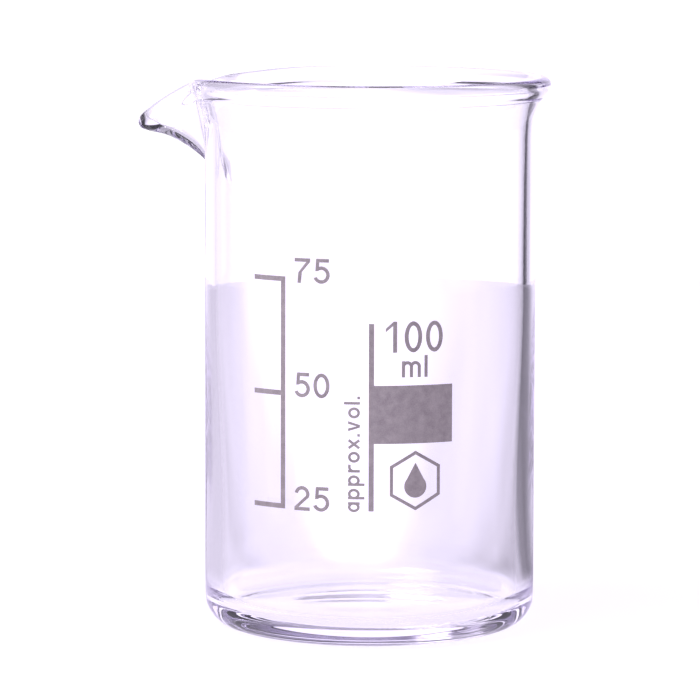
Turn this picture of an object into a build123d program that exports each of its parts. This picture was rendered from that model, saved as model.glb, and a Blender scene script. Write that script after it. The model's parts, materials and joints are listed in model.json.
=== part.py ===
from build123d import *
import math
import os

# Graduated tall-form beaker, 100 ml, with pouring spout.
# Frame: origin at the centre of the foot on the resting plane, +Z up,
# spout towards -X, printed scale facing -Y and turned 13.9 degrees towards
# +X, because the print does not sit square to the spout.  All lengths in
# millimetres.

os.makedirs("parts", exist_ok=True)

# ---------------------------------------------------------------- dimensions
HEIGHT = 80.0            # foot to top of the rim bead
R_BODY = 24.0            # outer radius of the straight wall (48 mm diameter)
R_BORE = 22.4            # inner radius, upper half
R_BORE_LOW = 21.6        # inner radius near the foot, where the glass is thicker
BORE_TAPER_TOP = 48.0    # the wall is evenly thick above this height
BORE_TAPER_BOTTOM = 12.0
R_HEEL = 4.1             # outer corner at the foot
R_HEEL_IN = 3.4          # inner corner at the floor
R_FOOT_RING = 15.5       # the foot rests on a flat ring outside this radius
FOOT_HOLLOW = 0.6        # height of the shallow hollow under the foot
FLOOR = 2.8              # glass thickness at the edge of the floor
FLOOR_CROWN = 0.3        # the floor rises this much to its centre

Z_SPLIT = 62.0           # below this the vessel is a body of revolution
BEAD = 1.2               # radius of the fire-polished rim bead
R_RIM = 24.93            # radius of the bead's centre line
WALL = R_BODY - R_BORE

SPOUT_REACH = 10.35      # how far the spout carries the bead outwards
SPOUT_DROOP = 5.75       # how far the tip hangs below the rim
SPOUT_HALF_ANGLE = 7.2   # degrees, width of the spout at the lip
SPOUT_ROOT_ANGLE = 11.5  # degrees, width of the trough where it leaves the wall
SPOUT_SHOULDER_ANGLE = 17.0   # degrees, width of the wall's swelling beside the trough
RIM_SAG = 0.68           # the rim dips gently on both sides of the spout
RIM_SAG_ANGLE = 34.0

PRINT = 0.05             # thickness of the fired enamel
PRINT_TURN = math.radians(13.9)   # middle of the artwork, round from -Y to +X
STROKE = 0.50            # stroke width of the numerals


# ------------------------------------------------------- wall centre surface
def lip(a):
    """Centre of the rim bead (radius, height) at a degrees from the spout."""
    g = math.exp(-(a / SPOUT_HALF_ANGLE) ** 2)
    sag = RIM_SAG * math.exp(-(abs(a) / RIM_SAG_ANGLE) ** 3)
    r = R_RIM + SPOUT_REACH * g
    z = HEIGHT - BEAD - sag - SPOUT_DROOP * (0.72 * g + 0.28 * g * g)
    return r, z


def section(a):
    """Control points of the wall's centre line at a degrees from the spout."""
    w = math.exp(-(a / SPOUT_ROOT_ANGLE) ** 2)
    rm = R_BODY - WALL / 2
    r4, z4 = lip(a)
    z0 = 69.5 - 6.0 * w
    z1 = z0 + 1.6 + 0.4 * w
    z2 = z0 + 3.5 + 0.7 * w
    tilt = math.radians(33.0 + 44.0 * w)
    arm = 2.6 + 3.7 * w
    g = math.exp(-(a / SPOUT_HALF_ANGLE) ** 2)
    b = math.exp(-(a / SPOUT_SHOULDER_ANGLE) ** 2)
    r3 = r4 - arm * math.sin(tilt) + 3.5 * (b - g)
    z3 = z4 - arm * math.cos(tilt)
    return (rm, z0), (rm, z1), (rm + 1.2 * (b - 0.3 * g), z2), (r3, z3), (r4, z4)


def centre(a, t):
    """Point of the wall's centre surface; t = 0 where the wall starts to lean,
    t = 1 at the bead, t < 0 down the straight wall."""
    p = section(a)
    if t < 0.0:
        r, z = p[0][0], p[0][1] + t
    else:
        u = 1.0 - t
        b = (u ** 4, 4 * u ** 3 * t, 6 * u * u * t * t, 4 * u * t ** 3, t ** 4)
        r = sum(b[i] * p[i][0] for i in range(5))
        z = sum(b[i] * p[i][1] for i in range(5))
    f = math.radians(a)
    return (-r * math.cos(f), -r * math.sin(f), z)


def sub(p, q):
    return (p[0] - q[0], p[1] - q[1], p[2] - q[2])


def cross(p, q):
    return (p[1] * q[2] - p[2] * q[1], p[2] * q[0] - p[0] * q[2], p[0] * q[1] - p[1] * q[0])


def unit(p):
    n = math.sqrt(p[0] ** 2 + p[1] ** 2 + p[2] ** 2)
    return (p[0] / n, p[1] / n, p[2] / n)


def frame_at(a, t):
    """Outward normal and rising direction of the centre surface."""
    if t <= 0.0:
        f = math.radians(a)
        return (-math.cos(f), -math.sin(f), 0.0), (0.0, 0.0, 1.0)
    da, dt = 0.01, 0.0005
    along = unit(sub(centre(a + da, t), centre(a - da, t)))
    if t + dt > 1.0:
        up = unit(sub(centre(a, t), centre(a, t - dt)))
    else:
        up = unit(sub(centre(a, t + dt), centre(a, max(t - dt, 0.0))))
    n = unit(cross(along, up))
    return n, unit(cross(n, along))


def half_thickness(t):
    k = min(max((t - 0.80) / 0.20, 0.0), 1.0)
    k = k * k * k * (10.0 - 15.0 * k + 6.0 * k * k)
    return WALL / 2 + (BEAD - WALL / 2) * k


def wall_loop(a, n_low, n_bend, n_bead):
    """Closed run over the wall at a degrees from the spout: up the outside,
    round the bead and down the bore, both ends at Z_SPLIT."""
    z0 = section(a)[0][1]
    stations = [(Z_SPLIT - z0) * (1.0 - i / n_low) for i in range(n_low)]
    stations += [i / n_bend for i in range(n_bend + 1)]
    out, back = [], []
    for t in stations:
        c = centre(a, t)
        n, _ = frame_at(a, t)
        h = half_thickness(t)
        out.append(tuple(c[i] + h * n[i] for i in range(3)))
        back.append(tuple(c[i] - h * n[i] for i in range(3)))
    c = centre(a, 1.0)
    n, e = frame_at(a, 1.0)
    bead = []
    for i in range(1, n_bead):
        q = math.pi * i / n_bead
        bead.append(tuple(c[k] + BEAD * (math.cos(q) * n[k] + math.sin(q) * e[k]) for k in range(3)))
    return out + bead + back[::-1]


# ---------------------------------------------------------------- the vessel
SECTIONS = 200           # radial sections in each half of the rim and spout


def upper_half():
    """Outer wall, bead and bore of one half above Z_SPLIT, lofted through
    closed radial sections."""
    n_low, n_bend, n_bead = 4, 16, 8
    wires = []
    for i in range(SECTIONS + 1):
        ang = 180.0 * i / SECTIONS
        loop = wall_loop(ang, n_low, n_bend, n_bead)
        if i in (0, SECTIONS):
            loop = [(p[0], 0.0, p[2]) for p in loop]
        loop[0] = (loop[0][0], loop[0][1], Z_SPLIT)
        loop[-1] = (loop[-1][0], loop[-1][1], Z_SPLIT)
        pts = [Vector(*p) for p in loop]
        k = n_low + n_bend + 1
        m = len(pts) - k
        wires.append(Wire([
            Edge.make_spline(pts[:k]),
            Edge.make_spline(pts[k - 1:m + 1]),
            Edge.make_spline(pts[m:]),
            Edge.make_line(pts[-1], pts[0]),
        ]))
    block = Solid.make_loft(wires, False)
    return [f for f in block.faces()
            if f.geom_type == GeomType.BSPLINE and f.bounding_box().max.Z > Z_SPLIT + 1.0]


def lower_half():
    def pt(r, z):
        return (-r, 0.0, z)

    k = math.sqrt(0.5)
    edges = [
        Edge.make_spline([pt(0, FOOT_HOLLOW), pt(R_FOOT_RING, 0)],
                         tangents=[(-1, 0, 0), (-1, 0, 0)]),
        Edge.make_line(pt(R_FOOT_RING, 0), pt(R_BODY - R_HEEL, 0)),
        Edge.make_three_point_arc(pt(R_BODY - R_HEEL, 0),
                                  pt(R_BODY - R_HEEL + k * R_HEEL, R_HEEL - k * R_HEEL),
                                  pt(R_BODY, R_HEEL)),
        Edge.make_line(pt(R_BODY, R_HEEL), pt(R_BODY, Z_SPLIT)),
        Edge.make_line(pt(R_BODY, Z_SPLIT), pt(R_BORE, Z_SPLIT)),
        Edge.make_line(pt(R_BORE, Z_SPLIT), pt(R_BORE, BORE_TAPER_TOP)),
        Edge.make_spline([pt(R_BORE, BORE_TAPER_TOP), pt(R_BORE_LOW, BORE_TAPER_BOTTOM)],
                         tangents=[(0, 0, -1), (0, 0, -1)]),
        Edge.make_line(pt(R_BORE_LOW, BORE_TAPER_BOTTOM), pt(R_BORE_LOW, FLOOR + R_HEEL_IN)),
        Edge.make_three_point_arc(pt(R_BORE_LOW, FLOOR + R_HEEL_IN),
                                  pt(R_BORE_LOW - R_HEEL_IN + k * R_HEEL_IN,
                                     FLOOR + R_HEEL_IN - k * R_HEEL_IN),
                                  pt(R_BORE_LOW - R_HEEL_IN, FLOOR)),
        Edge.make_spline([pt(R_BORE_LOW - R_HEEL_IN, FLOOR), pt(0, FLOOR + FLOOR_CROWN)],
                         tangents=[(1, 0, 0), (1, 0, 0)]),
        Edge.make_line(pt(0, FLOOR + FLOOR_CROWN), pt(0, FOOT_HOLLOW)),
    ]
    profile = Face(Wire(edges))
    solid = Solid.revolve(profile, 180, Axis.Z)
    if solid.center().Y > 0:
        solid = solid.mirror(Plane.XZ)
    kept = []
    for f in solid.faces():
        c = f.center()
        n = f.normal_at(c) if f.geom_type == GeomType.PLANE else None
        if n is not None and abs(n.Y) > 0.9:
            continue
        if n is not None and abs(n.Z) > 0.9 and abs(c.Z - Z_SPLIT) < 1e-6:
            continue
        kept.append(f)
    return kept


def build_vessel():
    half = upper_half() + lower_half()
    groups = Face.sew_faces(half + [f.mirror(Plane.XZ) for f in half])
    if len(groups) != 1:
        raise RuntimeError("the vessel's faces do not close: %d groups" % len(groups))
    solid = Solid(Shell(groups[0]))
    if solid.volume < 0:
        solid = Solid(Shell([-f for f in groups[0]]))
    return solid


# ------------------------------------------------------------------- enamel
def skin(shape_on_plane, arc, z):
    """Drape flat artwork on the wall: artwork drawn about the origin in its own
    X-Y plane is set at `arc` mm round the wall from the artwork's middle and z
    up, then cut from the enamel layer."""
    f = arc / R_BODY + PRINT_TURN
    outward = Vector(math.sin(f), -math.cos(f), 0)
    across = Vector(math.cos(f), math.sin(f), 0)
    plane = Plane(origin=outward * (R_BODY - 3.0) + Vector(0, 0, z), x_dir=across, z_dir=outward)
    block = extrude(plane * shape_on_plane, amount=6.0)
    z_lo, z_hi = z - 20.0, z + 20.0
    layer = Cylinder(R_BODY + PRINT, z_hi - z_lo) - Cylinder(R_BODY, z_hi - z_lo)
    layer = layer.moved(Location((0, 0, (z_lo + z_hi) / 2)))
    return (block & layer).solids()


def sector(arc0, arc1, z0, z1):
    """A straight-edged patch of enamel between two arc positions and heights."""
    a0, a1 = arc0 / R_BODY + PRINT_TURN, arc1 / R_BODY + PRINT_TURN

    def p(r, q):
        return (r * math.sin(q), -r * math.cos(q), z0)

    m = (a0 + a1) / 2
    ro = R_BODY + PRINT
    wire = Wire([
        Edge.make_three_point_arc(p(R_BODY, a0), p(R_BODY, m), p(R_BODY, a1)),
        Edge.make_line(p(R_BODY, a1), p(ro, a1)),
        Edge.make_three_point_arc(p(ro, a1), p(ro, m), p(ro, a0)),
        Edge.make_line(p(ro, a0), p(R_BODY, a0)),
    ])
    return extrude(Face(wire), amount=z1 - z0, dir=(0, 0, 1))


def bar(x0, y0, x1, y1, w=STROKE):
    """A straight stroke with square ends."""
    d = math.hypot(x1 - x0, y1 - y0)
    ang = math.degrees(math.atan2(y1 - y0, x1 - x0))
    return Pos((x0 + x1) / 2, (y0 + y1) / 2) * Rot(0, 0, ang) * Rectangle(d, w)


def ring(cx, cy, rx, ry, w=STROKE):
    """A closed oval stroke."""
    return Pos(cx, cy) * (Ellipse(rx, ry) - Ellipse(rx - w, ry - w * 1.04))


def bow(cx, cy, r, a0, a1, w=STROKE):
    """An open circular stroke from a0 to a1 degrees, counter-clockwise."""
    ro, ri = r, r - w
    m = math.radians((a0 + a1) / 2)
    b0, b1 = math.radians(a0), math.radians(a1)

    def p(rr, q):
        return (cx + rr * math.cos(q), cy + rr * math.sin(q), 0)

    wire = Wire([
        Edge.make_three_point_arc(p(ro, b0), p(ro, m), p(ro, b1)),
        Edge.make_line(p(ro, b1), p(ri, b1)),
        Edge.make_three_point_arc(p(ri, b1), p(ri, m), p(ri, b0)),
        Edge.make_line(p(ri, b0), p(ro, b0)),
    ])
    return Sketch() + Face(wire)


def poly(*pts):
    area = sum(pts[i - 1][0] * pts[i][1] - pts[i][0] * pts[i - 1][1] for i in range(len(pts)))
    if area < 0:
        pts = pts[::-1]
    return Sketch() + Face(Wire.make_polygon([(x, y, 0) for x, y in pts], close=True))


# Numerals are drawn about their own centre, width w and height h.
def digit_0(w, h, s=STROKE):
    return ring(0, 0, w / 2, h / 2, s)


def digit_1(w, h, s=STROKE):
    x = w / 2 - s
    return (poly((x, -h / 2), (x + s, -h / 2), (x + s, h / 2), (x + 0.12 * s, h / 2),
                 (x, h / 2 - 0.35 * s))
            + poly((x, h / 2 - 0.62), (x + 0.5 * s, h / 2), (x + 0.12 * s, h / 2),
                   (-w / 2, h / 2 - 1.00), (-w / 2, h / 2 - 1.50)))


def digit_2(w, h, s=STROKE):
    r = w / 2 - 0.04
    cy = h / 2 - r
    top = bow(0, cy, r, -22, 172, s)
    q = math.radians(-22)
    x0, y0 = r * math.cos(q), cy + r * math.sin(q)
    x1, y1 = (r - s) * math.cos(q), cy + (r - s) * math.sin(q)
    y_foot = -h / 2 + s
    leg = poly((x0, y0), (-w / 2 + 1.25 * s, y_foot), (-w / 2, y_foot), (x1, y1))
    foot = poly((-w / 2, -h / 2), (w / 2, -h / 2), (w / 2, y_foot), (-w / 2, y_foot))
    return top + leg + foot


def digit_5(w, h, s=STROKE):
    r = 0.52 * w
    cy = -h / 2 + r
    bowl = bow(w / 2 - r, cy, r, -158, 128, s)
    xa, ya = -w / 2 + 0.62 * s, h / 2
    q = math.radians(128)
    xb = w / 2 - r + (r - s) * math.cos(q)
    yb = cy + (r - s) * math.sin(q)
    stem = poly((-w / 2 + 0.75 * s, ya), (-w / 2 + 1.75 * s, ya), (xb + 0.1 * s, yb),
                (xb - 0.85 * s, yb - 0.05))
    top = poly((-w / 2 + 0.75 * s, ya), (w / 2 - 0.12, ya), (w / 2 - 0.12, ya - s),
               (-w / 2 + 0.72 * s, ya - s))
    return bowl + stem + top


def digit_7(w, h, s=STROKE):
    top = poly((-w / 2, h / 2 - s), (w / 2, h / 2 - s), (w / 2, h / 2), (-w / 2, h / 2))
    leg = poly((w / 2, h / 2 - s), (w / 2 - 1.15 * s, h / 2 - s), (-0.26 * w, -0.08 * h),
               (-0.36 * w + 0.1, -h / 2), (-0.36 * w + 0.1 + s * 1.02, -h / 2),
               (-0.26 * w + s * 1.08, -0.06 * h))
    return top + leg


def write(glyphs, centres, z):
    solids = []
    for g, c in zip(glyphs, centres):
        solids += skin(g, c, z)
    return solids


def save(name, solids):
    shape = Compound(label=name, children=list(solids)) if len(solids) > 1 else solids[0]
    export_step(shape, "parts/%s.step" % name)


# Scale positions (height of each tick above the resting plane).
TICKS = {"25": 20.25, "50": 36.4, "75": 52.6}
TICK_H = 0.70
BAR_W = 0.70
ARC_TICK_LEFT = -15.1
ARC_BAR = -10.0
NUM_H = 3.5
NUM_W = 2.35
CAP_H = 4.4
X_LINE = 3.08            # the long line beside the writing patch
PATCH = (3.45, 14.97, 29.6, 37.85)

if __name__ == "__main__":
    vessel = build_vessel()
    print("vessel valid", vessel.is_valid, "volume", round(vessel.volume, 2),
          "box", vessel.bounding_box())
    export_step(vessel, "parts/vessel.step")

    # One closed bracket: a vertical bar with three ticks to its left.
    bracket = sector(ARC_BAR - BAR_W / 2, ARC_BAR + BAR_W / 2,
                     TICKS["25"] - TICK_H / 2, TICKS["75"] + TICK_H / 2)
    for z in TICKS.values():
        bracket = bracket + sector(ARC_TICK_LEFT, ARC_BAR, z - TICK_H / 2, z + TICK_H / 2)
    save("graduation_scale", bracket.solids())

    pairs = {"75": (digit_7, digit_5), "50": (digit_5, digit_0), "25": (digit_2, digit_5)}
    for name, (ga, gb) in pairs.items():
        zc = TICKS[name] - 0.45 + NUM_H / 2
        save("numeral_" + name,
             write([ga(NUM_W, NUM_H), gb(NUM_W, NUM_H)], [-6.95, -4.05], zc))

    z100 = 44.72
    save("capacity_100", write(
        [digit_1(1.62, CAP_H, 0.58), digit_0(2.55, CAP_H, 0.58), digit_0(2.55, CAP_H, 0.58)],
        [5.88, 9.03, 12.15], z100))

    # The unit, "ml".
    xh = 2.3
    m_w = 2.75
    s = 0.46
    arch = (m_w - s) / 4 + s / 2
    letter_m = (bar(-m_w / 2 + s / 2, -xh / 2, -m_w / 2 + s / 2, xh / 2, s)
                + bar(0, -xh / 2, 0, xh / 2 - arch, s)
                + bar(m_w / 2 - s / 2, -xh / 2, m_w / 2 - s / 2, xh / 2 - arch, s)
                + bow(-m_w / 4 + s / 4, xh / 2 - arch, arch, 0, 180, s)
                + bow(m_w / 4 - s / 4, xh / 2 - arch, arch, 0, 180, s))
    letter_l = bar(0, -1.55, 0, 1.55, s)
    save("unit_ml", skin(letter_m, 8.75, 39.0 + xh / 2) + skin(letter_l, 10.9, 39.0 + 1.55))

    # Writing patch with its long line.
    patch = sector(PATCH[0] - 0.02, PATCH[1], PATCH[2], PATCH[3])
    patch = patch + sector(X_LINE - 0.37, X_LINE + 0.37, 20.0, 46.6)
    save("marking_patch", patch.solids())

    # "approx. vol." reads upwards beside the long line.
    s = 0.34
    x = 1.55                 # lower-case height
    r = x / 2
    letters = {
        "a": (ring(0.66, r, 0.66, r, s) + bar(1.32 - s / 2, 0, 1.32 - s / 2, x, s), 1.32),
        "p": (bar(s / 2, -0.62, s / 2, x, s) + ring(0.70, r, 0.70, r, s), 1.40),
        "r": (bar(s / 2, 0, s / 2, x, s) + bow(0.74, x - 0.74, 0.74, 62, 180, s), 0.92),
        "o": (ring(0.72, r, 0.72, r, s), 1.44),
        "x": (bar(0.1, 0.08, 1.15, x - 0.08, s) + bar(0.1, x - 0.08, 1.15, 0.08, s), 1.25),
        ".": (bar(s / 2, 0, s / 2, s, s), s),
        "v": (poly((0, x), (s * 1.05, x), (0.66, 0.42), (1.32 - s * 1.05, x), (1.32, x),
                   (0.66 + s * 0.5, 0), (0.66 - s * 0.5, 0)), 1.32),
        "l": (bar(s / 2, 0, s / 2, 2.1, s), s),
    }
    text, gap, k = "approx.vol.", 0.40, 1.08
    length = sum(k * letters[c][1] for c in text) + gap * (len(text) - 1)
    z_run = 28.1 - length / 2
    note = []
    for c in text:
        shape, width = letters[c]
        # turn the letter a quarter turn so that it reads upwards
        width *= k
        flat = Rot(0, 0, 90) * Pos(-width / 2, -0.86) * scale(shape, by=k)
        note += skin(flat, 0.62, z_run + width / 2)
        z_run += width + gap
    print("note length", round(length, 2), "solids", len(note))
    save("approx_note", note)

    # A plain pictogram: a drop inside a hexagonal frame.
    hexagon = RegularPolygon(4.25, 6, rotation=30) - RegularPolygon(3.72, 6, rotation=30)
    q = math.radians(140)
    drop = (Pos(0, -0.82) * Circle(1.62)
            + poly((1.62 * math.cos(q), -0.82 + 1.62 * math.sin(q)), (0, 2.55),
                   (-1.62 * math.cos(q), -0.82 + 1.62 * math.sin(q))))
    save("pictogram", skin(hexagon + drop, 9.4, 24.3))
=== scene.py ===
import json
import math

import bmesh
import bpy
import numpy as np
from mathutils import Matrix, Vector
from mathutils.geometry import delaunay_2d_cdt

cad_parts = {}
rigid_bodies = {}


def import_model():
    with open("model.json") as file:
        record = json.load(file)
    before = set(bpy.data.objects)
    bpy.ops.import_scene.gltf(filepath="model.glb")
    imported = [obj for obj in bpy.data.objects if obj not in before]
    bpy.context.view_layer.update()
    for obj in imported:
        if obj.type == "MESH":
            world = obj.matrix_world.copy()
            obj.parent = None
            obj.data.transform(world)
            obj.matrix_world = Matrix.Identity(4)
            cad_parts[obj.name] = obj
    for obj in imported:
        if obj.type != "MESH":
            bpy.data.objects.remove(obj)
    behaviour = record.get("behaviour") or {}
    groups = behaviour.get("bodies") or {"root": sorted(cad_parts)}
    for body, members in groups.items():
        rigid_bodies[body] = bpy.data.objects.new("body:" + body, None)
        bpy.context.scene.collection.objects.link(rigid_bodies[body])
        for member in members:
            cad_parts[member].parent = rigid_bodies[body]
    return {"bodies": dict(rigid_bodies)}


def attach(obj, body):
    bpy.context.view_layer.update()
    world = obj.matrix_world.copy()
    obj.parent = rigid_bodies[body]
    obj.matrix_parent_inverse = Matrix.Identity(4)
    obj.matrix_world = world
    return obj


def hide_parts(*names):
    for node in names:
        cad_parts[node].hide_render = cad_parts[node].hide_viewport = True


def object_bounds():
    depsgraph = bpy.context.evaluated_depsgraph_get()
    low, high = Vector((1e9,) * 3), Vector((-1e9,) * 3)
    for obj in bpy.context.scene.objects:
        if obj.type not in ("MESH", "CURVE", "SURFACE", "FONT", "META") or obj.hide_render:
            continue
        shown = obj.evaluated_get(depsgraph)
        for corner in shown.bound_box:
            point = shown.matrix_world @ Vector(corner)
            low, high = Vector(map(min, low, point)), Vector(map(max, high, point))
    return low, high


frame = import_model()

# The beaker's looks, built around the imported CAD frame: the glass vessel is a
# dense smooth mesh of the CAD's own surface, and each enamel print is a thin
# curved solid lying on the wall.  Everything is in metres.

cad_low, cad_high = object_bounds()
MM = 0.001
BODY = "root" if "root" in frame["bodies"] else sorted(frame["bodies"])[0]
scene = bpy.context.scene


# =========================================================== the glass vessel
# The same driving dimensions as the CAD, in millimetres.
HEIGHT = 80.0
R_BODY = 24.0
R_BORE = 22.4
R_BORE_LOW = 21.6
BORE_TAPER_TOP = 48.0
BORE_TAPER_BOTTOM = 12.0
R_HEEL = 4.1
R_HEEL_IN = 3.4
R_FOOT_RING = 15.5
FOOT_HOLLOW = 0.6
FLOOR = 2.8
FLOOR_CROWN = 0.3
Z_SPLIT = 62.0
BEAD = 1.2
R_RIM = 24.93
WALL = R_BODY - R_BORE
SPOUT_REACH = 10.35
SPOUT_DROOP = 5.75
SPOUT_HALF_ANGLE = 7.2
SPOUT_ROOT_ANGLE = 11.5
SPOUT_SHOULDER_ANGLE = 17.0
RIM_SAG = 0.68
RIM_SAG_ANGLE = 34.0


def section(a):
    """Control points (radius, height) of the wall's centre line, a degrees from the spout."""
    g = np.exp(-(a / SPOUT_HALF_ANGLE) ** 2)
    sag = RIM_SAG * np.exp(-(np.abs(a) / RIM_SAG_ANGLE) ** 3)
    w = np.exp(-(a / SPOUT_ROOT_ANGLE) ** 2)
    r4 = R_RIM + SPOUT_REACH * g
    z4 = HEIGHT - BEAD - sag - SPOUT_DROOP * (0.72 * g + 0.28 * g * g)
    rm = np.full_like(a, R_BODY - WALL / 2)
    z0 = 69.5 - 6.0 * w
    z1 = z0 + 1.6 + 0.4 * w
    z2 = z0 + 3.5 + 0.7 * w
    tilt = np.radians(33.0 + 44.0 * w)
    arm = 2.6 + 3.7 * w
    b = np.exp(-(a / SPOUT_SHOULDER_ANGLE) ** 2)
    return [(rm, z0), (rm, z1), (rm + 1.2 * (b - 0.3 * g), z2),
            (r4 - arm * np.sin(tilt) + 3.5 * (b - g), z4 - arm * np.cos(tilt)), (r4, z4)]


def centre(a, t):
    p = section(a)
    u = 1.0 - t
    b = (u ** 4, 4 * u ** 3 * t, 6 * u * u * t * t, 4 * u * t ** 3, t ** 4)
    r = sum(b[i] * p[i][0] for i in range(5))
    z = sum(b[i] * p[i][1] for i in range(5))
    f = np.radians(a)
    return np.stack([-r * np.cos(f), -r * np.sin(f), z], -1)


def unit(v):
    return v / np.linalg.norm(v, axis=-1, keepdims=True)


def normal_and_rise(a, t):
    da, dt = 0.01, 0.0005
    along = unit(centre(a + da, t) - centre(a - da, t))
    hi = np.minimum(t + dt, 1.0)
    lo = np.maximum(t - dt, 0.0)
    up = unit(centre(a, hi) - centre(a, lo))
    n = unit(np.cross(along, up))
    return n, unit(np.cross(n, along))


def half_thickness(t):
    k = np.clip((t - 0.80) / 0.20, 0.0, 1.0)
    k = k * k * k * (10.0 - 15.0 * k + 6.0 * k * k)
    return WALL / 2 + (BEAD - WALL / 2) * k


def smooth(u):
    u = np.clip(u, 0.0, 1.0)
    return u * u * (3.0 - 2.0 * u)


def bore_radius(z):
    return R_BORE - (R_BORE - R_BORE_LOW) * smooth((BORE_TAPER_TOP - z) / (BORE_TAPER_TOP - BORE_TAPER_BOTTOM))


def column_angles():
    """Degrees from the spout, once round, closer together where the spout curves."""
    half = [0.0]
    while half[-1] < 180.0:
        x = half[-1]
        half.append(x + (0.45 if x < 26 else 0.75 if x < 45 else 1.2))
    half = np.array(half) * (180.0 / half[-1])
    return np.concatenate([half, -half[1:-1][::-1]])


ANGLES = column_angles()


def ripple(f, z):
    """The faint unevenness of blown glass on the bore, in millimetres."""
    streaks = (0.012 * np.sin(3 * f + 0.7) + 0.007 * np.sin(7 * f + 2.1 + 0.02 * z)
               + 0.0035 * np.sin(17 * f + 0.4) + 0.002 * np.sin(31 * f + 1.3 - 0.03 * z))
    bands = 0.010 * np.sin(z * 0.21 + 0.8 * np.sin(f)) + 0.004 * np.sin(z * 0.55 + 2.0 * np.cos(f + 1.0))
    fade = smooth((z - 6.5) / 8.0) * smooth((72.0 - z) / 8.0)
    return (streaks + bands) * fade


def vessel_points():
    """Rows of points from the middle of the foot, up the outside, over the
    bead, down the bore and across the floor."""
    a = ANGLES
    f = np.radians(a)
    ring = np.stack([-np.cos(f), -np.sin(f)], -1)
    rows = []

    def turned(r, z, wave=False):
        r = np.broadcast_to(np.asarray(r, float), a.shape)
        if wave:
            r = r + ripple(f, z)
        rows.append(np.concatenate([ring * r[:, None], np.full((len(a), 1), float(z))], 1))

    for u in np.linspace(0.0, 1.0, 13)[1:]:                      # hollow under the foot
        turned(R_FOOT_RING * u, FOOT_HOLLOW * (1.0 - smooth(u)))
    for r in (17.0, 18.5):
        turned(r, 0.0)
    for q in np.linspace(0.0, math.pi / 2, 17):                  # outer heel
        turned(R_BODY - R_HEEL + R_HEEL * math.sin(q), R_HEEL * (1.0 - math.cos(q)))
    for z in np.linspace(R_HEEL, Z_SPLIT, 26)[1:]:               # straight wall
        turned(R_BODY, z)
    n_bend, n_bead, n_low = 44, 20, 5
    z0 = section(a)[0][1]
    for k in range(1, n_low):                                    # up to the flare
        z = Z_SPLIT + (z0 - Z_SPLIT) * k / n_low
        rows.append(np.concatenate([ring * R_BODY, z[:, None]], 1))
    stations = np.linspace(0.0, 1.0, n_bend + 1)
    outer, inner = [], []
    for t in stations:
        c = centre(a, np.full_like(a, t))
        n, e = normal_and_rise(a, np.full_like(a, t))
        h = half_thickness(t)
        outer.append(c + h * n)
        inner.append(c - h * n)
    rows += outer
    c = centre(a, np.ones_like(a))
    n, e = normal_and_rise(a, np.ones_like(a))
    for k in range(1, n_bead):
        q = math.pi * k / n_bead
        rows.append(c + BEAD * (math.cos(q) * n + math.sin(q) * e))
    rows += inner[::-1]
    for k in range(n_low - 1, 0, -1):
        z = Z_SPLIT + (z0 - Z_SPLIT) * k / n_low
        r = R_BORE + ripple(f, z)
        rows.append(np.concatenate([ring * r[:, None], z[:, None]], 1))
    for z in np.linspace(Z_SPLIT, FLOOR + R_HEEL_IN, 44):        # bore
        turned(bore_radius(z), z, wave=True)
    for q in np.linspace(0.0, math.pi / 2, 15)[1:]:              # inner corner
        turned(R_BORE_LOW - R_HEEL_IN + R_HEEL_IN * math.cos(q), FLOOR + R_HEEL_IN * (1.0 - math.sin(q)))
    rf = R_BORE_LOW - R_HEEL_IN
    for u in np.linspace(1.0, 0.0, 15)[1:-1]:                    # floor
        turned(rf * u, FLOOR + FLOOR_CROWN * (1.0 - smooth(u)))
    return np.array(rows)


def build_vessel():
    rows = vessel_points()
    nr, nc, _ = rows.shape
    verts = rows.reshape(-1, 3) * MM
    bottom = len(verts)
    verts = np.concatenate([verts, [[0, 0, FOOT_HOLLOW * MM], [0, 0, (FLOOR + FLOOR_CROWN) * MM]]])
    margin = 2e-6                                                # stay just inside the CAD's own box
    verts = np.clip(verts, np.array(list(cad_low)) + margin, np.array(list(cad_high)) - margin)
    faces = []
    idx = np.arange(nr * nc).reshape(nr, nc)
    for i in range(nr - 1):
        a, b = idx[i], idx[i + 1]
        a2, b2 = np.roll(a, -1), np.roll(b, -1)
        faces.extend(np.stack([a, a2, b2, b], -1).tolist())
    faces += [[bottom, int(idx[0][(j + 1) % nc]), int(idx[0][j])] for j in range(nc)]
    faces += [[bottom + 1, int(idx[-1][j]), int(idx[-1][(j + 1) % nc])] for j in range(nc)]
    me = bpy.data.meshes.new("glass_vessel")
    me.from_pydata(verts.tolist(), [], faces)
    me.update()
    bm = bmesh.new()
    bm.from_mesh(me)
    if bm.calc_volume(signed=True) < 0:
        bmesh.ops.reverse_faces(bm, faces=bm.faces[:])
    bm.to_mesh(me)
    bm.free()
    me.shade_smooth()
    ob = bpy.data.objects.new("glass_vessel", me)
    scene.collection.objects.link(ob)
    return ob


# ============================================================== enamel prints
# Artwork is drawn flat as overlapping polygons, x along the wall's
# circumference from -Y and y up, in millimetres, then fused and wrapped.
PRINT_OUT = 24.035
PRINT_IN = 23.985
PRINT_TURN = math.radians(13.9)      # the artwork's middle, round from -Y towards +X


def rect(x0, y0, x1, y1):
    return [[(x0, y0), (x1, y0), (x1, y1), (x0, y1)]]


def stroke(x0, y0, x1, y1, w):
    dx, dy = x1 - x0, y1 - y0
    d = math.hypot(dx, dy)
    nx, ny = -dy / d * w / 2, dx / d * w / 2
    return [[(x0 - nx, y0 - ny), (x1 - nx, y1 - ny), (x1 + nx, y1 + ny), (x0 + nx, y0 + ny)]]


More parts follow.
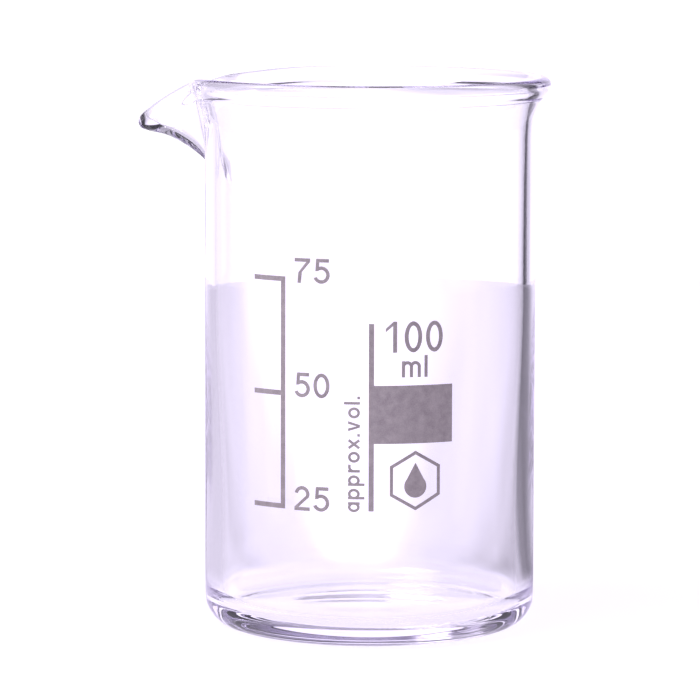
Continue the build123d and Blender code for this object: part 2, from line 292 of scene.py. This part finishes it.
def band(cx, cy, rx, ry, a0, a1, w, wy=None, step=7.0):
    """An arc of an oval stroke: outer radii rx, ry, stroke w inwards."""
    wy = w if wy is None else wy
    n = max(2, int(math.ceil(abs(a1 - a0) / step)))
    out = []
    for i in range(n):
        q0 = math.radians(a0 + (a1 - a0) * i / n)
        q1 = math.radians(a0 + (a1 - a0) * (i + 1) / n)
        out.append([(cx + (rx - w) * math.cos(q0), cy + (ry - wy) * math.sin(q0)),
                    (cx + rx * math.cos(q0), cy + ry * math.sin(q0)),
                    (cx + rx * math.cos(q1), cy + ry * math.sin(q1)),
                    (cx + (rx - w) * math.cos(q1), cy + (ry - wy) * math.sin(q1))])
    return out


def move(polys, dx, dy):
    return [[(x + dx, y + dy) for x, y in p] for p in polys]


def quarter_turn(polys):
    return [[(-y, x) for x, y in p] for p in polys]


def digit_0(w, h, s):
    return band(0, 0, w / 2, h / 2, 0, 360, s, s * 1.04)


def digit_1(w, h, s):
    x = w / 2 - s
    return [[(x, -h / 2), (x + s, -h / 2), (x + s, h / 2), (x + 0.12 * s, h / 2), (x, h / 2 - 0.35 * s)],
            [(-w / 2, h / 2 - 1.50), (x, h / 2 - 0.62), (x + 0.5 * s, h / 2 - 0.3), (x + 0.5 * s, h / 2),
             (x + 0.12 * s, h / 2), (-w / 2, h / 2 - 1.00)]]


def digit_2(w, h, s):
    r = w / 2 - 0.04
    cy = h / 2 - r
    q = math.radians(-22)
    x0, y0 = r * math.cos(q), cy + r * math.sin(q)
    x1, y1 = (r - s) * math.cos(q), cy + (r - s) * math.sin(q)
    foot = -h / 2 + s
    return (band(0, cy, r, r, -22, 172, s)
            + [[(x0, y0), (x1, y1), (-w / 2, foot), (-w / 2 + 1.25 * s, foot)]]
            + rect(-w / 2, -h / 2, w / 2, foot))


def digit_5(w, h, s):
    r = 0.52 * w
    cy = -h / 2 + r
    cx = w / 2 - r
    q = math.radians(128)
    xb, yb = cx + (r - s) * math.cos(q), cy + (r - s) * math.sin(q)
    return (band(cx, cy, r, r, -158, 128, s)
            + [[(-w / 2 + 0.75 * s, h / 2), (xb - 0.85 * s, yb - 0.05), (xb + 0.1 * s, yb),
                (-w / 2 + 1.75 * s, h / 2)]]
            + rect(-w / 2 + 0.74 * s, h / 2 - s, w / 2 - 0.12, h / 2))


def digit_7(w, h, s):
    return (rect(-w / 2, h / 2 - s, w / 2, h / 2)
            + [[(w / 2, h / 2 - s), (-0.26 * w + s * 1.08, -0.06 * h), (-0.36 * w + 0.1 + s * 1.02, -h / 2),
                (-0.36 * w + 0.1, -h / 2), (-0.26 * w, -0.08 * h), (w / 2 - 1.15 * s, h / 2 - s)]])


def wrap(name, polys):
    """Fuses the polygons, cuts them into narrow upright strips and lays them on
    the wall as a thin closed solid."""
    xs = [x for p in polys for x, _ in p]
    ys = [y for p in polys for _, y in p]
    verts, faces, edges = [], [], []
    for p in polys:
        area = sum(p[i - 1][0] * p[i][1] - p[i][0] * p[i - 1][1] for i in range(len(p)))
        p = p if area > 0 else p[::-1]
        faces.append(list(range(len(verts), len(verts) + len(p))))
        verts += [Vector(q) for q in p]
    step = 0.3
    k0, k1 = math.floor(min(xs) / step), math.ceil(max(xs) / step)
    for k in range(k0, k1 + 1):
        edges.append((len(verts), len(verts) + 1))
        verts += [Vector((k * step + 0.0013, min(ys) - 0.5)), Vector((k * step + 0.0013, max(ys) + 0.5))]
    co, _, tris, _, _, origin = delaunay_2d_cdt(verts, edges, faces, 0, 1e-5)
    kept = [t for t, o in zip(tris, origin) if len([i for i in o]) > 0]
    used = sorted({i for t in kept for i in t})
    number = {v: i for i, v in enumerate(used)}
    n = len(used)

    def lay(p, r):
        f = p.x / R_BODY + PRINT_TURN
        return (r * math.sin(f) * MM, -r * math.cos(f) * MM, p.y * MM)

    points = [lay(co[i], PRINT_OUT) for i in used] + [lay(co[i], PRINT_IN) for i in used]
    top = [[number[i] for i in t] for t in kept]
    count = {}
    for t in top:
        for i in range(len(t)):
            e = (t[i], t[(i + 1) % len(t)])
            count[e] = count.get(e, 0) + 1
    sides = [[b, a, a + n, b + n] for (a, b) in count if (b, a) not in count]
    bottom = [[i + n for i in reversed(t)] for t in top]
    me = bpy.data.meshes.new(name)
    me.from_pydata(points, [], top + bottom + sides)
    me.update()
    bm = bmesh.new()
    bm.from_mesh(me)
    bmesh.ops.recalc_face_normals(bm, faces=bm.faces[:])
    if bm.calc_volume(signed=True) < 0:
        bmesh.ops.reverse_faces(bm, faces=bm.faces[:])
    bm.to_mesh(me)
    bm.free()
    me.shade_smooth()
    me.set_sharp_from_angle(angle=math.radians(35))
    ob = bpy.data.objects.new(name, me)
    scene.collection.objects.link(ob)
    return ob


TICKS = {"25": 20.25, "50": 36.4, "75": 52.6}
NUM_W, NUM_H, STROKE = 2.35, 3.5, 0.50


def artwork():
    art = {}
    bracket = rect(-10.35, TICKS["25"] - 0.35, -9.65, TICKS["75"] + 0.35)
    for z in TICKS.values():
        bracket += rect(-15.1, z - 0.35, -9.8, z + 0.35)
    art["graduation_scale"] = bracket
    for name, (ga, gb) in {"75": (digit_7, digit_5), "50": (digit_5, digit_0), "25": (digit_2, digit_5)}.items():
        zc = TICKS[name] - 0.45 + NUM_H / 2
        art["numeral_" + name] = (move(ga(NUM_W, NUM_H, STROKE), -6.95, zc)
                                  + move(gb(NUM_W, NUM_H, STROKE), -4.05, zc))
    z100, h, s = 44.72, 4.4, 0.58
    art["capacity_100"] = (move(digit_1(1.62, h, s), 5.88, z100) + move(digit_0(2.55, h, s), 9.03, z100)
                           + move(digit_0(2.55, h, s), 12.15, z100))
    xh, mw, s = 2.3, 2.75, 0.46
    arch = (mw - s) / 4 + s / 2
    m = (rect(-mw / 2, -xh / 2, -mw / 2 + s, xh / 2) + rect(-s / 2, -xh / 2, s / 2, xh / 2 - arch)
         + rect(mw / 2 - s, -xh / 2, mw / 2, xh / 2 - arch)
         + band(-mw / 4 + s / 4, xh / 2 - arch, arch, arch, 0, 180, s)
         + band(mw / 4 - s / 4, xh / 2 - arch, arch, arch, 0, 180, s))
    art["unit_ml"] = move(m, 8.75, 39.0 + xh / 2) + rect(10.9 - s / 2, 39.0, 10.9 + s / 2, 42.1)
    art["marking_patch"] = rect(3.43, 29.6, 14.97, 37.85) + rect(2.71, 20.0, 3.45, 46.6)
    s, x = 0.34, 1.55
    r = x / 2
    letters = {
        "a": (band(0.66, r, 0.66, r, 0, 360, s, step=12) + rect(1.32 - s, 0, 1.32, x), 1.32),
        "p": (rect(0, -0.62, s, x) + band(0.70, r, 0.70, r, 0, 360, s, step=12), 1.40),
        "r": (rect(0, 0, s, x) + band(0.74, x - 0.74, 0.74, 0.74, 62, 180, s, step=12), 0.92),
        "o": (band(0.72, r, 0.72, r, 0, 360, s, step=12), 1.44),
        "x": (stroke(0.1, 0.08, 1.15, x - 0.08, s) + stroke(0.1, x - 0.08, 1.15, 0.08, s), 1.25),
        ".": (rect(0, 0, s, s), s),
        "v": ([[(0, x), (0.66 - s / 2, 0), (0.66, 0), (0.66, 0.42), (s * 1.05, x)],
               [(1.32 - s * 1.05, x), (0.66, 0.42), (0.66, 0), (0.66 + s / 2, 0), (1.32, x)]], 1.32),
        "l": (rect(0, 0, s, 2.1), s),
    }
    text, gap, k = "approx.vol.", 0.40, 1.08
    length = sum(k * letters[c][1] for c in text) + gap * (len(text) - 1)
    z = 28.1 - length / 2
    note = []
    for c in text:
        shape, width = letters[c]
        shape = [[(k * u, k * v) for u, v in p] for p in shape]
        width *= k
        note += move(quarter_turn(move(shape, -width / 2, -0.86)), 0.62, z + width / 2)
        z += width + gap
    art["approx_note"] = note
    hexagon = []
    for i in range(6):
        q0, q1 = math.radians(60 * i + 30), math.radians(60 * i + 90)
        hexagon.append([(3.72 * math.cos(q0), 3.72 * math.sin(q0)), (4.25 * math.cos(q0), 4.25 * math.sin(q0)),
                        (4.25 * math.cos(q1), 4.25 * math.sin(q1)), (3.72 * math.cos(q1), 3.72 * math.sin(q1))])
    pts = [(0.0, 2.55)] + [(1.62 * math.cos(math.radians(q)), -0.82 + 1.62 * math.sin(math.radians(q)))
                           for q in range(140, 401, 10)]
    art["pictogram"] = move(hexagon, 9.4, 24.3) + move([pts], 9.4, 24.3)
    return art


# ================================================================== materials
class Nodes:
    def __init__(self, tree):
        self.t = tree
        tree.nodes.clear()

    def add(self, kind, **inputs):
        n = self.t.nodes.new(kind)
        for k, v in inputs.items():
            setattr(n, k, v)
        return n

    def link(self, a, b):
        self.t.links.new(a, b)


def glass_material():
    m = bpy.data.materials.new("clear_borosilicate_glass")
    m.use_nodes = True
    n = Nodes(m.node_tree)
    out = n.add("ShaderNodeOutputMaterial")
    p = n.add("ShaderNodeBsdfPrincipled")
    p.inputs["Base Color"].default_value = (1.0, 1.0, 1.0, 1.0)
    p.inputs["Roughness"].default_value = 0.0
    p.inputs["IOR"].default_value = 1.473
    p.inputs["Transmission Weight"].default_value = 1.0
    n.link(p.outputs["BSDF"], out.inputs["Surface"])
    v = n.add("ShaderNodeVolumeAbsorption")
    v.inputs["Color"].default_value = (0.90, 0.87, 0.96, 1.0)
    v.inputs["Density"].default_value = 18.0
    n.link(v.outputs["Volume"], out.inputs["Volume"])
    # fine fire-polish orange peel
    tex = n.add("ShaderNodeTexCoord")
    noise = n.add("ShaderNodeTexNoise")
    noise.inputs["Scale"].default_value = 900.0
    noise.inputs["Detail"].default_value = 2.0
    bump = n.add("ShaderNodeBump")
    bump.inputs["Strength"].default_value = 0.02
    bump.inputs["Distance"].default_value = 0.00002
    n.link(tex.outputs["Object"], noise.inputs["Vector"])
    n.link(noise.outputs["Fac"], bump.inputs["Height"])
    n.link(bump.outputs["Normal"], p.inputs["Normal"])
    return m


def enamel_material():
    m = bpy.data.materials.new("fired_enamel_painted_backlit_grey")
    m.use_nodes = True
    n = Nodes(m.node_tree)
    out = n.add("ShaderNodeOutputMaterial")
    p = n.add("ShaderNodeBsdfPrincipled")
    tex = n.add("ShaderNodeTexCoord")
    cloud = n.add("ShaderNodeTexNoise")
    cloud.inputs["Scale"].default_value = 900.0
    cloud.inputs["Detail"].default_value = 4.0
    grain = n.add("ShaderNodeTexNoise")
    grain.inputs["Scale"].default_value = 6500.0
    grain.inputs["Detail"].default_value = 3.0
    mix = n.add("ShaderNodeMath", operation="MULTIPLY_ADD")
    mix.inputs[1].default_value = 0.55
    # the grey of this ramp is painted shade: white enamel as it looks when lit from behind; the cloud and grain mottle
    # is the print's own uneven tone
    ramp = n.add("ShaderNodeValToRGB")
    ramp.color_ramp.elements[0].position = 0.30
    ramp.color_ramp.elements[0].color = (0.290, 0.252, 0.258, 1.0)
    ramp.color_ramp.elements[1].position = 0.72
    ramp.color_ramp.elements[1].color = (0.490, 0.443, 0.434, 1.0)
    half = n.add("ShaderNodeMath", operation="MULTIPLY")
    half.inputs[1].default_value = 0.45
    for t in (cloud, grain):
        n.link(tex.outputs["Object"], t.inputs["Vector"])
    n.link(grain.outputs["Fac"], half.inputs[0])
    n.link(cloud.outputs["Fac"], mix.inputs[0])
    n.link(half.outputs[0], mix.inputs[2])
    n.link(mix.outputs[0], ramp.inputs["Fac"])
    n.link(ramp.outputs["Color"], p.inputs["Base Color"])
    rough = n.add("ShaderNodeMapRange")
    rough.inputs["To Min"].default_value = 0.32
    rough.inputs["To Max"].default_value = 0.55
    n.link(grain.outputs["Fac"], rough.inputs["Value"])
    n.link(rough.outputs["Result"], p.inputs["Roughness"])
    bump = n.add("ShaderNodeBump")
    bump.inputs["Strength"].default_value = 0.25
    bump.inputs["Distance"].default_value = 0.00001
    n.link(grain.outputs["Fac"], bump.inputs["Height"])
    n.link(bump.outputs["Normal"], p.inputs["Normal"])
    p.inputs["IOR"].default_value = 1.5
    n.link(p.outputs["BSDF"], out.inputs["Surface"])
    return m


# ============================================================ build the object
glass = glass_material()
enamel = enamel_material()

vessel = build_vessel()
vessel.data.materials.append(glass)
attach(vessel, BODY)
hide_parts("vessel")

art = artwork()
for node, polys in art.items():
    ob = wrap("enamel_" + node, polys)
    ob.data.materials.append(enamel)
    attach(ob, BODY)
    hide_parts(node)


# ================================================================== the studio
# Glass is drawn by what it bends into view, so the surroundings are four soft
# white windows with darker corners between them.  The camera itself sees only
# plain white.
LAVENDER = (0.86, 0.79, 1.0)
WINDOW_TURN = math.radians(-20.7)


def window_angle(n, x, y, turn):
    """The angle (degrees) from the nearest window's middle."""
    at = n.add("ShaderNodeMath", operation="ARCTAN2")
    n.link(x, at.inputs[0]); n.link(y, at.inputs[1])
    off = n.add("ShaderNodeMath", operation="SUBTRACT")
    off.inputs[1].default_value = turn
    n.link(at.outputs[0], off.inputs[0])
    fold = n.add("ShaderNodeMath", operation="PINGPONG")
    fold.inputs[1].default_value = math.radians(45)
    n.link(off.outputs[0], fold.inputs[0])
    return fold.outputs[0]


def levels(n, source, top, stops):
    """A brightness curve: stops are (angle in degrees or distance, level)."""
    mr = n.add("ShaderNodeMapRange")
    mr.inputs["From Min"].default_value = 0.0
    mr.inputs["From Max"].default_value = top
    n.link(source, mr.inputs["Value"])
    ramp = n.add("ShaderNodeValToRGB")
    ramp.color_ramp.interpolation = "EASE"
    els = ramp.color_ramp.elements
    els.remove(els[1])
    for k, (x, v) in enumerate(stops):
        e = els[0] if k == 0 else els.new(x / top)
        e.position = x / top
        e.color = (v, v, v, 1.0)
    n.link(mr.outputs["Result"], ramp.inputs["Fac"])
    return ramp.outputs["Color"]


def degrees_of(n, angle):
    m = n.add("ShaderNodeMath", operation="MULTIPLY")
    m.inputs[1].default_value = 180.0 / math.pi
    n.link(angle, m.inputs[0])
    return m.outputs[0]


def times(n, a, b):
    m = n.add("ShaderNodeMath", operation="MULTIPLY")
    for k, v in enumerate((a, b)):
        if isinstance(v, float):
            m.inputs[k].default_value = v
        else:
            n.link(v, m.inputs[k])
    return m.outputs[0]


world = bpy.data.worlds.new("studio")
scene.world = world
world.use_nodes = True
n = Nodes(world.node_tree)
out = n.add("ShaderNodeOutputWorld")
seen = n.add("ShaderNodeBackground")
seen.inputs["Color"].default_value = (1.0, 1.0, 1.0, 1.0)
seen.inputs["Strength"].default_value = 1.15
bent = n.add("ShaderNodeBackground")
bent.inputs["Color"].default_value = (*LAVENDER, 1.0)
tc = n.add("ShaderNodeTexCoord")
sep = n.add("ShaderNodeSeparateXYZ")
n.link(tc.outputs["Generated"], sep.inputs[0])
side = levels(n, degrees_of(n, window_angle(n, sep.outputs["X"], sep.outputs["Y"], WINDOW_TURN - math.radians(4.0))), 45.0,
              [(22, 1.0), (30, 0.86), (35, 0.60), (37.5, 0.12), (39, 0.01), (45, 0.01)])
tall = n.add("ShaderNodeMath", operation="ARCSINE")
n.link(sep.outputs["Z"], tall.inputs[0])
lean = n.add("ShaderNodeMath", operation="ADD")      # the windows are lower at their sides
n.link(degrees_of(n, tall.outputs[0]), lean.inputs[0])
n.link(times(n, degrees_of(n, window_angle(n, sep.outputs["X"], sep.outputs["Y"], WINDOW_TURN)), 0.45), lean.inputs[1])
rise = levels(n, lean.outputs[0], 90.0,
              [(0, 1.0), (26, 1.0), (30, 0.01), (50, 0.02), (60, 0.35), (90, 0.35)])
spout_side = n.add("ShaderNodeVectorMath", operation="DOT_PRODUCT")     # one broad window on the spout's side
n.link(tc.outputs["Generated"], spout_side.inputs[0])
spout_side.inputs[1].default_value = (-math.cos(WINDOW_TURN), math.sin(WINDOW_TURN), 0.0)
broad = n.add("ShaderNodeMapRange", interpolation_type="SMOOTHSTEP")
broad.inputs["From Min"].default_value = 0.35
broad.inputs["From Max"].default_value = 0.60
broad.inputs["To Max"].default_value = 0.66
n.link(spout_side.outputs["Value"], broad.inputs["Value"])
wide = n.add("ShaderNodeMath", operation="MAXIMUM")
n.link(side, wide.inputs[0])
n.link(broad.outputs["Result"], wide.inputs[1])
n.link(times(n, times(n, wide.outputs[0], rise), 1.45), bent.inputs["Strength"])
path = n.add("ShaderNodeLightPath")
mixer = n.add("ShaderNodeMixShader")
n.link(path.outputs["Is Camera Ray"], mixer.inputs["Fac"])
n.link(bent.outputs[0], mixer.inputs[1])
n.link(seen.outputs[0], mixer.inputs[2])
n.link(mixer.outputs[0], out.inputs["Surface"])

# floor: plain pale emission for the camera over a grey diffuse layer; rays bent by the glass see painted light
# instead, a lavender glow with painted dark sectors
bm = bmesh.new()
bmesh.ops.create_circle(bm, cap_ends=True, segments=160, radius=0.485)
me = bpy.data.meshes.new("floor")
bm.to_mesh(me)
bm.free()
floor = bpy.data.objects.new("floor", me)
floor.location = (0.0, 0.0, -0.00003)
scene.collection.objects.link(floor)
fm = bpy.data.materials.new("pale_floor_with_painted_glow")
fm.use_nodes = True
n = Nodes(fm.node_tree)
out = n.add("ShaderNodeOutputMaterial")
add = n.add("ShaderNodeAddShader")
diff = n.add("ShaderNodeBsdfDiffuse")
diff.inputs["Color"].default_value = (0.30, 0.285, 0.32, 1.0)
seen = n.add("ShaderNodeEmission")
seen.inputs["Color"].default_value = (0.985, 0.955, 1.0, 1.0)
seen.inputs["Strength"].default_value = 0.93
# painted light seen only through the glass: lavender window glow, painted dark sectors between the windows and a broad
# painted glow on the spout's side
bent = n.add("ShaderNodeEmission")
bent.inputs["Color"].default_value = (*LAVENDER, 1.0)
tc = n.add("ShaderNodeTexCoord")
sep = n.add("ShaderNodeSeparateXYZ")
n.link(tc.outputs["Object"], sep.inputs[0])
side = levels(n, degrees_of(n, window_angle(n, sep.outputs["X"], sep.outputs["Y"], WINDOW_TURN - math.radians(2.0))), 45.0,
              [(4, 1.0), (9, 0.72), (16, 0.66), (27, 0.42), (38, 0.06), (45, 0.03)])
heading = n.add("ShaderNodeVectorMath", operation="NORMALIZE")
n.link(tc.outputs["Object"], heading.inputs[0])
spout_side = n.add("ShaderNodeVectorMath", operation="DOT_PRODUCT")
n.link(heading.outputs["Vector"], spout_side.inputs[0])
spout_side.inputs[1].default_value = (-math.cos(WINDOW_TURN), math.sin(WINDOW_TURN), 0.0)
broad = n.add("ShaderNodeMapRange", interpolation_type="SMOOTHSTEP")
broad.inputs["From Min"].default_value = 0.15
broad.inputs["From Max"].default_value = 0.55
broad.inputs["To Max"].default_value = 0.46
n.link(spout_side.outputs["Value"], broad.inputs["Value"])
wide = n.add("ShaderNodeMath", operation="MAXIMUM")
n.link(side, wide.inputs[0])
n.link(broad.outputs["Result"], wide.inputs[1])
length = n.add("ShaderNodeVectorMath", operation="LENGTH")
n.link(tc.outputs["Object"], length.inputs[0])
# painted glow: a steady level within about 26 mm of the vessel, fading into the painted windows by 62 mm
far = n.add("ShaderNodeMapRange", interpolation_type="SMOOTHSTEP")
far.inputs["From Min"].default_value = 0.026
far.inputs["From Max"].default_value = 0.062
n.link(length.outputs["Value"], far.inputs["Value"])
near_far = n.add("ShaderNodeMix", data_type="FLOAT")
near_far.inputs[2].default_value = 0.80
n.link(far.outputs["Result"], near_far.inputs["Factor"])
n.link(wide.outputs[0], near_far.inputs[3])
n.link(times(n, near_far.outputs["Result"], 1.30), bent.inputs["Strength"])
path = n.add("ShaderNodeLightPath")
mixer = n.add("ShaderNodeMixShader")
n.link(path.outputs["Is Camera Ray"], mixer.inputs["Fac"])
n.link(bent.outputs[0], mixer.inputs[1])
n.link(seen.outputs[0], mixer.inputs[2])
n.link(diff.outputs[0], add.inputs[0]); n.link(mixer.outputs[0], add.inputs[1])
n.link(add.outputs[0], out.inputs["Surface"])
me.materials.append(fm)


def area(name, loc, target, size, power, color=(1, 1, 1)):
    la = bpy.data.lights.new(name, "AREA")
    la.shape = "RECTANGLE"
    la.size, la.size_y = size
    la.energy = power
    la.color = color
    ob = bpy.data.objects.new(name, la)
    ob.location = loc
    ob.rotation_euler = (Vector(target) - Vector(loc)).to_track_quat("-Z", "Y").to_euler()
    scene.collection.objects.link(ob)
    return ob


area("soft_top", (-0.25, -0.35, 0.75), (0, 0, 0.04), (0.5, 0.5), 4.0, (1.0, 0.98, 1.0))

# camera at the photograph's viewing angle
cam = bpy.data.cameras.new("camera")
cam.sensor_width = 36.0
cam.lens = 232.1
cam.clip_start = 0.01
cam.clip_end = 20.0
camera = bpy.data.objects.new("camera", cam)
AZ = math.radians(20.7)
eye = Vector((0.6526 * math.sin(AZ), -0.6526 * math.cos(AZ), 0.1195))
right = Vector((math.cos(AZ), math.sin(AZ), 0.0))
aim = right * -0.0029 + Vector((0, 0, 0.0400))
look = (aim - eye).to_track_quat("-Z", "Y")
camera.matrix_world = Matrix.Translation(eye) @ look.to_matrix().to_4x4() @ Matrix.Rotation(math.radians(0.15), 4, "Z")
scene.collection.objects.link(camera)
scene.camera = camera

scene.view_settings.view_transform = "Standard"
scene.view_settings.look = "None"
scene.cycles.max_bounces = 128
scene.cycles.transmission_bounces = 128
scene.cycles.glossy_bounces = 128
scene.cycles.transparent_max_bounces = 16
scene.cycles.caustics_refractive = True
scene.cycles.caustics_reflective = True
scene.cycles.use_denoising = True
